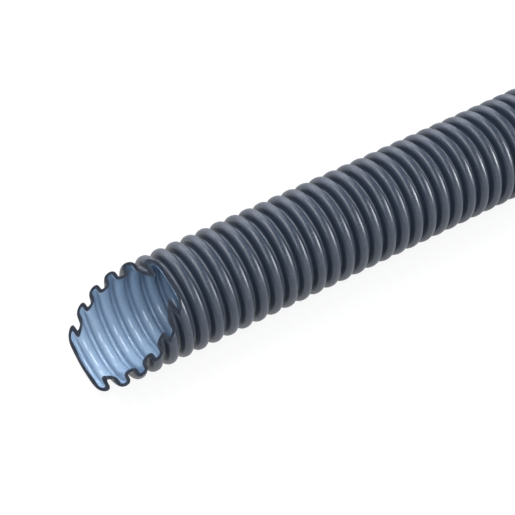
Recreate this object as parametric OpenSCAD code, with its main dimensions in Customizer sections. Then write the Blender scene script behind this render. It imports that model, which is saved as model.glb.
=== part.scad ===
// Corrugated plastic conduit for cables: a dark ribbed wall with a pale sliding layer
// co-extruded onto its inside. One straight length lies on its side along X. Its -X end is
// cut on the slant, and its +X end is cut square in the bottom of a groove.

/* [Size] */
// Diameter over the ribs
outer_d = 32; // [31.5:0.1:33]
// Clear diameter inside the grooves
bore_d = 24.3; // [23:0.1:24.8]
// Number of ribs in the length
rib_count = 200; // [20:1:200]

/* [Corrugation] */
// Distance from one rib to the next
pitch = 5; // [4.8:0.1:6]
// Width of the flat land on top of a rib
rib_land = 0.4; // [0.3:0.1:0.5]
// Radius of a rib's two shoulders, outside
rib_round = 1.45; // [1.4:0.01:1.5]
// Width of the flat land at the bottom of a groove
groove_land = 0.5; // [0.3:0.1:0.6]
// Radius of a groove's two corners, outside
groove_round = 0.55; // [0.5:0.01:0.6]

/* [Wall] */
// Whole thickness of the wall
wall = 0.95; // [0.8:0.05:1]
// Thickness of the sliding layer, which is part of the wall
layer = 0.2; // [0.15:0.05:0.3]

/* [Slant cut] */
// Lean of the cut face from square
cut_lean = 45.5; // [30:0.5:55]
// Turn of the cut face round the conduit, from facing up towards facing -Y
cut_turn = 0; // [-90:1:90]

/* [Hidden] */
$fn = 96;

// Straight steps that stand for a rib's shoulder and for a groove's corner
shoulder_steps = 3;
corner_steps = 2;

length = rib_count * pitch;
crest_r = outer_d / 2;
bore_r = bore_d / 2;
groove_r = bore_r + wall;
rib_half = rib_land / 2;
groove_half = groove_land / 2;

// The flank is the straight line that touches a rib's shoulder and the next groove's corner.
shoulder_y = crest_r - rib_round;
corner_y = groove_r + groove_round;
flank_dx = pitch / 2 - rib_half - groove_half;
flank_dy = shoulder_y - corner_y;
// Angle of the flank's outward normal above the axis
flank_tilt = atan2(flank_dx, flank_dy)
    - asin((rib_round + groove_round) / norm([flank_dx, flank_dy]));

// The slant cut's lowest point, on a groove's corner, from the -X end and out from the axis
tip = [pitch / 2, 0] + arc([-pitch / 2 + groove_half, corner_y], groove_round,
    270, 360 - flank_tilt, corner_steps)[1];
// The middle of what is left of the length beyond that point
middle = (tip[0] + length) / 2;

// Points on an arc between two angles, as [along the axis, out from the axis].
function arc(centre, r, from, to, steps) =
    [for (i = [0 : steps])
        let (a = from + (to - from) * i / steps)
        centre + r * [cos(a), sin(a)]];

// One rib from the middle of a groove to the middle of the next, at a depth under the
// outside surface. Every depth keeps the arcs' centres, so the wall has one thickness.
function rib(depth) = concat(
    arc([-pitch / 2 + groove_half, corner_y], groove_round + depth, 270, 360 - flank_tilt,
        corner_steps),
    arc([-rib_half, shoulder_y], rib_round - depth, 180 - flank_tilt, 90, shoulder_steps),
    arc([rib_half, shoulder_y], rib_round - depth, 90, flank_tilt, shoulder_steps),
    arc([pitch / 2 - groove_half, corner_y], groove_round + depth, 180 + flank_tilt, 270,
        corner_steps));

// The whole surface at a depth, as [out from the axis, along the axis].
function surface_line(depth) = concat(
    [[groove_r - depth, 0]],
    [for (i = [0 : rib_count - 1], p = rib(depth)) [p[1], p[0] + (i + 0.5) * pitch]],
    [[groove_r - depth, length]]);

function reversed(list) = [for (i = [len(list) - 1 : -1 : 0]) list[i]];

// A tube whose wall runs from one depth to another, with the slant cut at its -X end.
module corrugated_tube(from, to) {
    difference() {
        translate([-middle, 0, crest_r])
            rotate([0, 90, 0])
            rotate_extrude()
            polygon(concat(surface_line(from), reversed(surface_line(to))));
        slant_cut();
    }
}

// Everything beyond the cut face.
module slant_cut() {
    reach = 6 * outer_d;
    translate([tip[0] - middle, 0, crest_r])
        rotate([cut_turn, 0, 0])
        translate([0, 0, -tip[1]])
        rotate([0, cut_lean, 0])
        translate([-reach, -reach / 2, -reach / 2])
        cube(reach);
}

module outer_wall() {
    color([0.24, 0.27, 0.31]) corrugated_tube(0, wall - layer);
}

module sliding_layer() {
    color([0.45, 0.55, 0.68]) corrugated_tube(wall - layer, wall);
}

outer_wall();
sliding_layer();
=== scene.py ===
import bmesh
import bpy
import numpy as np
from mathutils import Matrix, Vector


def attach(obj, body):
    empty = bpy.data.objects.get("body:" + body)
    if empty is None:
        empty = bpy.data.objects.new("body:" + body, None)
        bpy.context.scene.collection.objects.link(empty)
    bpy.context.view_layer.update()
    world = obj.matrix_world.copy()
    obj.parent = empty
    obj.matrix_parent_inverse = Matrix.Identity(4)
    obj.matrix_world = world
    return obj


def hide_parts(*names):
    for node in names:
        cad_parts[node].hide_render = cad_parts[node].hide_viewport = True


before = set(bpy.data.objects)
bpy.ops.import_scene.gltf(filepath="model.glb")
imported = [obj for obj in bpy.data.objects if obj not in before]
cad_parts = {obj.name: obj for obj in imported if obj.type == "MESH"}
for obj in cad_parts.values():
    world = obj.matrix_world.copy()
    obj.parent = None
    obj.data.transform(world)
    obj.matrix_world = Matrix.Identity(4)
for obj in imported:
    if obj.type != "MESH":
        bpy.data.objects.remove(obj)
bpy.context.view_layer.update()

# ---------------------------------------------------------------------------
# Camera: stands over the slanted end and looks down along the length, which
# leaves the view at the upper right.
CAMERA_PLACE = (-0.57869, -0.16144, 0.36337)
CAMERA_UP_ANGLE = 58.3715
CAMERA_TURN = -40.3915
CAMERA_ROLL = 10.9594
CAMERA_LENS = 95.58

camera = bpy.data.objects.new("camera", bpy.data.cameras.new("camera"))
bpy.context.collection.objects.link(camera)
camera.data.sensor_width = 36.0
camera.data.lens = CAMERA_LENS
camera.data.clip_start, camera.data.clip_end = 0.01, 20.0
camera.matrix_world = (
    Matrix.Translation(CAMERA_PLACE)
    @ Matrix.Rotation(np.radians(CAMERA_TURN), 4, "Z")
    @ Matrix.Rotation(np.radians(90 - CAMERA_UP_ANGLE), 4, "X")
    @ Matrix.Rotation(np.radians(CAMERA_ROLL), 4, "Z"))
bpy.context.scene.camera = camera

# ---------------------------------------------------------------------------
# Dark outer wall: one extruded tube of dark blue-grey plastic. Moulding blocks
# suck the soft tube out into even ribs as it leaves the die, so it has one
# thickness everywhere. One end is sawn on the slant, the other square.
PITCH = 0.005
RIB_COUNT = 200
RIB_RADIUS = 0.016
BORE_RADIUS = 0.01215
WALL = 0.00095
LAYER = 0.0002
RIB_LAND, RIB_ROUND = 0.0004, 0.00145
GROOVE_LAND, GROOVE_ROUND = 0.0005, 0.00055
CUT_LEAN = np.radians(45.5)
CORNER_STEPS_IN_SOURCE = 2

GROOVE_RADIUS = BORE_RADIUS + WALL
SHOULDER = RIB_RADIUS - RIB_ROUND
CORNER = GROOVE_RADIUS + GROOVE_ROUND
_across = PITCH / 2 - RIB_LAND / 2 - GROOVE_LAND / 2
_out = SHOULDER - CORNER
FLANK_TILT = np.arctan2(_across, _out) - np.arcsin(
    (RIB_ROUND + GROOVE_ROUND) / np.hypot(_across, _out))
# the lowest point of the slanted cut lies on the first groove's corner
_tip_angle = (1.5 * np.pi + 2 * np.pi - FLANK_TILT) / CORNER_STEPS_IN_SOURCE
TIP = np.array([GROOVE_LAND / 2 + GROOVE_ROUND * np.cos(_tip_angle),
                CORNER + GROOVE_ROUND * np.sin(_tip_angle)])
MIDDLE = (TIP[0] + RIB_COUNT * PITCH) / 2
CUT_POINT = np.array([TIP[0] - MIDDLE, 0, RIB_RADIUS - TIP[1]])
CUT_NORMAL = np.array([-np.cos(CUT_LEAN), 0, np.sin(CUT_LEAN)])
SQUARE_END = RIB_COUNT * PITCH - MIDDLE


def arc(centre, radius, start, end, steps):
    """Points of a circle: centre + radius * (cos a, sin a), for even angles a."""
    a = np.linspace(start, end, steps + 1)[:, None]
    return np.array(centre) + radius * np.hstack([np.cos(a), np.sin(a)])


def rib_line(depth, shoulder_steps, corner_steps):
    """One rib at a depth under the outside, as (along, out) pairs.

    Two shoulder arcs and two groove arcs keep their centres at every depth, and the flank
    is the straight line that touches both. So the wall has one thickness all over.
    """
    half = PITCH / 2
    turn = np.pi - FLANK_TILT
    left = np.vstack([
        arc((-half + GROOVE_LAND / 2, CORNER), GROOVE_ROUND + depth,
            1.5 * np.pi, 2 * np.pi - FLANK_TILT, corner_steps),
        arc((-RIB_LAND / 2, SHOULDER), RIB_ROUND - depth,
            turn, 0.5 * np.pi, shoulder_steps)])
    return np.vstack([left, left[::-1] * [-1, 1]])


def wave_line(depth, first, last, shoulder_steps, corner_steps):
    """The ribs first to last - 1 end to end, as (along, out) pairs from groove to groove."""
    rib = rib_line(depth, shoulder_steps, corner_steps)
    shift = (np.arange(first, last) + 0.5) * PITCH - MIDDLE
    line = (rib[None] + np.stack([shift, 0 * shift], 1)[:, None]).reshape(-1, 2)
    end = GROOVE_RADIUS - depth
    return np.vstack([[first * PITCH - MIDDLE, end], line, [last * PITCH - MIDDLE, end]])


def tube_mesh(name, from_depth, to_depth, first, last, around, steps, back_steps):
    """A closed tube wall: a loop of profile points turned about the axis.

    Point (i, j) = (along_i, out_i * cos a_j, out_i * sin a_j + rib radius), where the loop
    i runs out along one side of the wall and back along the other.
    """
    one = wave_line(from_depth, first, last, *steps)
    two = wave_line(to_depth, first, last, *back_steps)
    loop = np.vstack([one, two[::-1]])
    angle = np.arange(around) * 2 * np.pi / around
    grid = np.empty((len(loop), around, 3))
    grid[..., 0] = loop[:, :1]
    grid[..., 1] = loop[:, 1:] * np.cos(angle)
    grid[..., 2] = loop[:, 1:] * np.sin(angle) + RIB_RADIUS
    i, j = np.meshgrid(np.arange(len(loop)), np.arange(around), indexing="ij")
    ii, jj = (i + 1) % len(loop), (j + 1) % around
    quads = np.stack([i * around + j, ii * around + j, ii * around + jj, i * around + jj], -1)
    mesh = bpy.data.meshes.new(name)
    mesh.from_pydata(grid.reshape(-1, 3).tolist(), [], quads.reshape(-1, 4).tolist())
    return mesh


def slant_cut(mesh):
    """Takes off all that is beyond the cut plane and closes the wall there.

    The plane goes through the tip, and its normal leans CUT_LEAN from the axis.
    """
    normal = Vector(CUT_NORMAL)
    work = bmesh.new()
    work.from_mesh(mesh)
    cut = bmesh.ops.bisect_plane(
        work, geom=work.verts[:] + work.edges[:] + work.faces[:], dist=1e-7,
        plane_co=Vector(CUT_POINT), plane_no=normal, clear_outer=True)
    rim = [e for e in cut["geom_cut"] if isinstance(e, bmesh.types.BMEdge)]
    if rim:
        bmesh.ops.triangle_fill(work, edges=rim, use_beauty=True, normal=normal)
    bmesh.ops.recalc_face_normals(work, faces=work.faces[:])
    work.to_mesh(mesh)
    work.free()


def mark_sawn(mesh):
    """Gives each face the value 1 if it lies in one of the two sawn planes, otherwise 0."""
    centre = np.empty(3 * len(mesh.polygons))
    normal = np.empty(3 * len(mesh.polygons))
    mesh.polygons.foreach_get("center", centre)
    mesh.polygons.foreach_get("normal", normal)
    centre, normal = centre.reshape(-1, 3), normal.reshape(-1, 3)
    near, same_way = 1e-6, 0.999
    slanted = (np.abs((centre - CUT_POINT) @ CUT_NORMAL) < near) & (
        normal @ CUT_NORMAL > same_way)
    square = (centre[:, 0] > SQUARE_END - near) & (normal[:, 0] > same_way)
    sawn = mesh.attributes.new("sawn", "FLOAT", "FACE")
    sawn.data.foreach_set("value", (slanted | square).astype(np.float32))


def wall_piece(name, node, depths, ribs, around, steps, back_steps, material):
    """Makes one stretch of a tube wall, saws its end if it has one, and ties it."""
    mesh = tube_mesh(name, *depths, *ribs, around, steps, back_steps)
    slant_cut(mesh)
    mark_sawn(mesh)
    mesh.shade_smooth()
    mesh.set_sharp_from_angle(angle=np.radians(50))
    mesh.materials.append(material)
    piece = bpy.data.objects.new(name, mesh)
    bpy.context.collection.objects.link(piece)
    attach(piece, "root")
    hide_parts(node)


def add(tree, kind, *values, **settings):
    """Adds a node and fills its inputs in order: a socket is linked, a value is set."""
    node = tree.nodes.new(kind)
    for name, value in settings.items():
        setattr(node, name, value)
    for slot, value in zip(node.inputs, values):
        if isinstance(value, bpy.types.NodeSocket):
            tree.links.new(value, slot)
        elif value is not None:
            slot.default_value = value
    return node


def maths(tree, operation, *values):
    """The result of one Math node on sockets or plain values."""
    return add(tree, "ShaderNodeMath", *values, operation=operation).outputs[0]


def ramp(tree, value, low, high, start=0.0, end=1.0):
    """A value carried from low..high to start..end, and held there beyond them."""
    return add(tree, "ShaderNodeMapRange", value, low, high, start, end).outputs[0]


def blend(tree, share, one, other):
    """A colour that goes from one to the other as share goes from 0 to 1."""
    return add(tree, "ShaderNodeMix", share, None, None, None, None, None, one, other,
               data_type="RGBA").outputs[2]


def noise(tree, stretch, detail):
    """Noise on the object's own coordinates, so many waves a metre along X, Y and Z."""
    place = add(tree, "ShaderNodeTexCoord").outputs["Object"]
    place = add(tree, "ShaderNodeVectorMath", place, stretch, operation="MULTIPLY").outputs[0]
    return add(tree, "ShaderNodeTexNoise", place, None, 1.0, detail).outputs[0]


def effect(name, ins, outs):
    """An empty node group with named inputs and outputs, given as {label: kind}."""
    tree = bpy.data.node_groups.new(name, "ShaderNodeTree")
    for side, sockets in (("INPUT", ins), ("OUTPUT", outs)):
        for label, kind in sockets.items():
            tree.interface.new_socket(label, in_out=side, socket_type="NodeSocket" + kind)
    return (tree, tree.nodes.new("NodeGroupInput").outputs,
            tree.nodes.new("NodeGroupOutput").inputs)


def use(tree, group, *values):
    """Places an effect in a material with its own values, and gives back its outputs."""
    node = add(tree, "ShaderNodeGroup", node_tree=group)
    for slot, value in zip(node.inputs, values):
        if isinstance(value, bpy.types.NodeSocket):
            tree.links.new(value, slot)
        else:
            slot.default_value = value
    return node.outputs


# the batch's tint, which drifts from one colour to the other over a few centimetres
tint_drift, given, result = effect(
    "tint_drift", {"Colour": "Color", "Other colour": "Color"}, {"Colour": "Color"})
drift = ramp(tint_drift, noise(tint_drift, (60, 60, 60), 3.0), 0.3, 0.7)
tint_drift.links.new(blend(tint_drift, drift, given[0], given[1]), result[0])

# fine lines that a die or a mould draws out: slow one way and fast the others
drawn_lines, given, result = effect("drawn_lines", {"Waves": "Vector"}, {"Lines": "Float"})
drawn_lines.links.new(noise(drawn_lines, given[0], 3.0), result[0])

# sawn faces: matt and dull, with the paler marks of the teeth across the cut
sawn_face, given, result = effect(
    "sawn_face",
    {"Colour": "Color", "Sawn colour": "Color", "Roughness": "Float", "Height": "Float"},
    {"Colour": "Color", "Roughness": "Float", "Height": "Float", "Shine": "Float"})
sawn = add(sawn_face, "ShaderNodeAttribute", attribute_name="sawn").outputs["Fac"]
teeth = noise(sawn_face, (2200, 150, 2200), 2.0)
TORN_COLOUR = (0.12, 0.14, 0.17, 1)
torn = blend(sawn_face, ramp(sawn_face, teeth, 0.35, 0.75, 0.0, 0.25), given[1],
             TORN_COLOUR)
sawn_face.links.new(blend(sawn_face, sawn, given[0], torn), result[0])
sawn_face.links.new(ramp(sawn_face, sawn, 0.0, 1.0, given[2], 0.6), result[1])
sawn_face.links.new(ramp(sawn_face, sawn, 0.0, 1.0, given[3], teeth), result[2])
sawn_face.links.new(ramp(sawn_face, sawn, 0.0, 1.0, 0.55, 0.1), result[3])


# dark plastic: glossy from the mould, scuffed along the tops of the ribs
DARK_TINT, DARK_OTHER_TINT = (0.024, 0.034, 0.053, 1), (0.020, 0.029, 0.046, 1)
SCUFF_COLOUR, DARK_SAWN_COLOUR = (0.11, 0.13, 0.16, 1), (0.015, 0.020, 0.030, 1)
SCUFF_DEPTH_BELOW_TOP = 0.0003
SEAM_SIDE, SEAM_HALF_WIDTH = (0, 0.24, -0.97), 0.00012
DARK_RELIEF = 0.000025
dark = bpy.data.materials.new("dark_wall_plastic")
dark.use_nodes = True
tree = dark.node_tree
shader = tree.nodes["Principled BSDF"]
place = add(tree, "ShaderNodeTexCoord").outputs["Object"]
from_axis = add(tree, "ShaderNodeVectorMath", place, (0, 1, 1), (0, 0, -RIB_RADIUS),
                operation="MULTIPLY_ADD").outputs[0]
out = add(tree, "ShaderNodeVectorMath", from_axis, operation="LENGTH").outputs["Value"]
on_top = ramp(tree, out, RIB_RADIUS - SCUFF_DEPTH_BELOW_TOP, RIB_RADIUS)
scuffs = ramp(tree, use(tree, drawn_lines, (120, 2600, 2600))[0], 0.56, 0.70)
scuffs = maths(tree, "MULTIPLY", scuffs, on_top)
rings = use(tree, drawn_lines, (1800, 70, 70))[0]
# two parting lines of the mould blocks, opposite each other, low on one side
seam = add(tree, "ShaderNodeVectorMath", from_axis, SEAM_SIDE,
           operation="DOT_PRODUCT").outputs["Value"]
seam = ramp(tree, maths(tree, "ABSOLUTE", seam), 0.0, SEAM_HALF_WIDTH, 1.0, 0.0)
colour = use(tree, tint_drift, DARK_TINT, DARK_OTHER_TINT)[0]
colour = blend(tree, maths(tree, "MULTIPLY", scuffs, 0.35), colour, SCUFF_COLOUR)
gloss = ramp(tree, rings, 0.3, 0.7, 0.35, 0.45)
gloss = maths(tree, "MULTIPLY_ADD", scuffs, 0.12, gloss)
height = maths(tree, "MULTIPLY_ADD", seam, 1.5, rings)
height = maths(tree, "MULTIPLY_ADD", scuffs, -0.4, height)
colour, gloss, height, shine = use(
    tree, sawn_face, colour, DARK_SAWN_COLOUR, gloss, height)
bump = add(tree, "ShaderNodeBump")
bump.inputs["Distance"].default_value = DARK_RELIEF
tree.links.new(height, bump.inputs["Height"])
tree.links.new(colour, shader.inputs["Base Color"])
tree.links.new(gloss, shader.inputs["Roughness"])
tree.links.new(bump.outputs[0], shader.inputs["Normal"])
tree.links.new(shine, shader.inputs["Specular IOR Level"])

FINE_RIBS, MIDDLE_RIB = 36, 118
WALL_DEPTHS = (0.0, WALL - LAYER)
wall_piece("outer_wall_slanted_end", "outer_wall", WALL_DEPTHS, (0, FINE_RIBS), 72,
           (4, 3), (3, 3), dark)
wall_piece("outer_wall_middle", "outer_wall", WALL_DEPTHS, (FINE_RIBS, MIDDLE_RIB), 36,
           (2, 2), (1, 1), dark)
wall_piece("outer_wall_square_end", "outer_wall", WALL_DEPTHS, (MIDDLE_RIB, RIB_COUNT), 36,
           (2, 2), (1, 1), dark)

# ---------------------------------------------------------------------------
# Pale sliding layer: a thin skin of smooth light-blue plastic, extruded together with the
# wall and bonded to its inside, that lets cables slide through. The die leaves faint lines
# along it.
PALE_TINT, PALE_OTHER_TINT = (0.26, 0.365, 0.495, 1), (0.235, 0.335, 0.465, 1)
DRAWN_LINE_COLOUR, PALE_SAWN_COLOUR = (0.62, 0.75, 0.90, 1), (0.030, 0.040, 0.058, 1)
PALE_RELIEF = 0.000015
pale = bpy.data.materials.new("sliding_layer_plastic")
pale.use_nodes = True
tree = pale.node_tree
shader = tree.nodes["Principled BSDF"]
lines = use(tree, drawn_lines, (30, 2400, 2400))[0]
colour = use(tree, tint_drift, PALE_TINT, PALE_OTHER_TINT)[0]
colour = blend(tree, ramp(tree, lines, 0.45, 0.75, 0.0, 0.06), colour, DRAWN_LINE_COLOUR)
gloss = ramp(tree, lines, 0.3, 0.7, 0.12, 0.20)
colour, gloss, height, shine = use(
    tree, sawn_face, colour, PALE_SAWN_COLOUR, gloss, lines)
bump = add(tree, "ShaderNodeBump")
bump.inputs["Distance"].default_value = PALE_RELIEF
tree.links.new(height, bump.inputs["Height"])
tree.links.new(colour, shader.inputs["Base Color"])
tree.links.new(gloss, shader.inputs["Roughness"])
tree.links.new(bump.outputs[0], shader.inputs["Normal"])
tree.links.new(shine, shader.inputs["Specular IOR Level"])

LAYER_DEPTHS = (WALL - LAYER, WALL)
wall_piece("sliding_layer_slanted_end", "sliding_layer", LAYER_DEPTHS, (0, FINE_RIBS), 72,
           (3, 3), (4, 4), pale)
wall_piece("sliding_layer_middle", "sliding_layer", LAYER_DEPTHS, (FINE_RIBS, MIDDLE_RIB),
           36, (1, 1), (2, 2), pale)
wall_piece("sliding_layer_square_end", "sliding_layer", LAYER_DEPTHS,
           (MIDDLE_RIB, RIB_COUNT), 36, (1, 1), (2, 2), pale)

# ---------------------------------------------------------------------------
# Floor: plain pale sheet under the conduit. It keeps the soft shadow near the conduit and
# glows white further off, so that it has no horizon.
FLOOR_REACH = 4.0
GLOW_NEAR, GLOW_FAR = 0.85, 1.0
FADE_START, FADE_END = 0.7, 1.8

floor_mesh = bpy.data.meshes.new("floor")
floor_mesh.from_pydata(
    [(x * FLOOR_REACH, y * FLOOR_REACH, 0) for x, y in ((-1, -1), (1, -1), (1, 1), (-1, 1))],
    [], [(0, 1, 2, 3)])
floor = bpy.data.objects.new("floor", floor_mesh)
bpy.context.collection.objects.link(floor)
floor_paint = bpy.data.materials.new("floor_paint")
floor_paint.use_nodes = True
tree = floor_paint.node_tree
tree.nodes.clear()
matt = add(tree, "ShaderNodeBsdfDiffuse", (0.9, 0.9, 0.9, 1))
glow = add(tree, "ShaderNodeEmission", (1, 1, 1, 1), 1.0)
path = add(tree, "ShaderNodeLightPath").outputs
seen = maths(tree, "MAXIMUM", path["Is Camera Ray"], path["Is Glossy Ray"])
place = add(tree, "ShaderNodeTexCoord").outputs["Object"]
far = add(tree, "ShaderNodeVectorMath", place, operation="LENGTH").outputs["Value"]
glow_share = ramp(tree, far, FADE_START, FADE_END, GLOW_NEAR, GLOW_FAR)
share = maths(tree, "MULTIPLY", seen, glow_share)
mix = add(tree, "ShaderNodeMixShader", share, matt.outputs[0], glow.outputs[0])
add(tree, "ShaderNodeOutputMaterial", mix.outputs[0])
floor_mesh.materials.append(floor_paint)

# ---------------------------------------------------------------------------
# Light: soft studio lamps round the slanted end. The ones towards +X are low and far
# off, so they draw the bright line along the ribs. The sky adds a little from all sides,
# and it is seen as a white backdrop.
AIM = (-0.43, 0, 0)


def soft_lamp(name, place, along, width, length, watts, colour):
    """A rectangle lamp faced at the slanted end, with its length along a direction."""
    lamp = bpy.data.objects.new(name, bpy.data.lights.new(name, "AREA"))
    lamp.data.shape = "RECTANGLE"
    lamp.data.size, lamp.data.size_y = width, length
    lamp.data.energy = watts
    lamp.data.color = colour
    back = (Vector(place) - Vector(AIM)).normalized()
    side = Vector(along).cross(back).normalized()
    turn = Matrix((side, back.cross(side), back)).transposed()
    lamp.matrix_world = Matrix.Translation(place) @ turn.to_4x4()
    bpy.context.collection.objects.link(lamp)


X_AXIS, Y_AXIS = (1, 0, 0), (0, 1, 0)
soft_lamp("far_strip", (7.0, -0.83, 0.87), X_AXIS, 0.5, 4.6, 75, (0.9, 0.97, 1.0))
soft_lamp("low_lamp", (4.04, -1.44, 1.05), X_AXIS, 1.5, 1.8, 216, (0.95, 0.97, 1.0))
soft_lamp("end_lamp", (4.23, -0.30, 0.60), Y_AXIS, 1.0, 1.2, 36, (1.0, 0.97, 0.9))
soft_lamp("back_low", (-0.3, 1.5, 0.30), X_AXIS, 0.6, 2.4, 21, (0.84, 0.88, 1.0))
soft_lamp("back_high", (-0.3, 1.3, 0.95), X_AXIS, 0.6, 2.4, 8.5, (0.88, 0.91, 1.0))
soft_lamp("overhead", (-0.47, 0.525, 1.14), (0, 0.9, -0.42), 0.25, 1.1, 13, (0.94, 0.96, 1.0))
soft_lamp("above_end", (-0.90, 0.25, 1.17), (0, 0.98, -0.19), 0.36, 1.5, 3.5, (1.0, 0.98, 0.95))
soft_lamp("fill", (-0.98, -0.62, 1.50), Y_AXIS, 0.8, 0.8, 14, (0.90, 0.94, 1.0))
soft_lamp("front", (-0.3, -1.45, 0.55), X_AXIS, 0.9, 1.8, 9, (0.96, 0.97, 1.0))

world = bpy.data.worlds.new("sky")
bpy.context.scene.world = world
world.use_nodes = True
tree = world.node_tree
sky = tree.nodes["Background"]
sky.inputs["Color"].default_value = (0.9, 0.95, 1, 1)
sky.inputs["Strength"].default_value = 0.05
backdrop = add(tree, "ShaderNodeBackground", (1, 1, 1, 1), 1.0)
path = add(tree, "ShaderNodeLightPath").outputs
mix = add(tree, "ShaderNodeMixShader", path["Is Camera Ray"], sky.outputs[0],
          backdrop.outputs[0])
tree.links.new(mix.outputs[0], tree.nodes["World Output"].inputs["Surface"])

bpy.context.scene.view_settings.view_transform = "Standard"
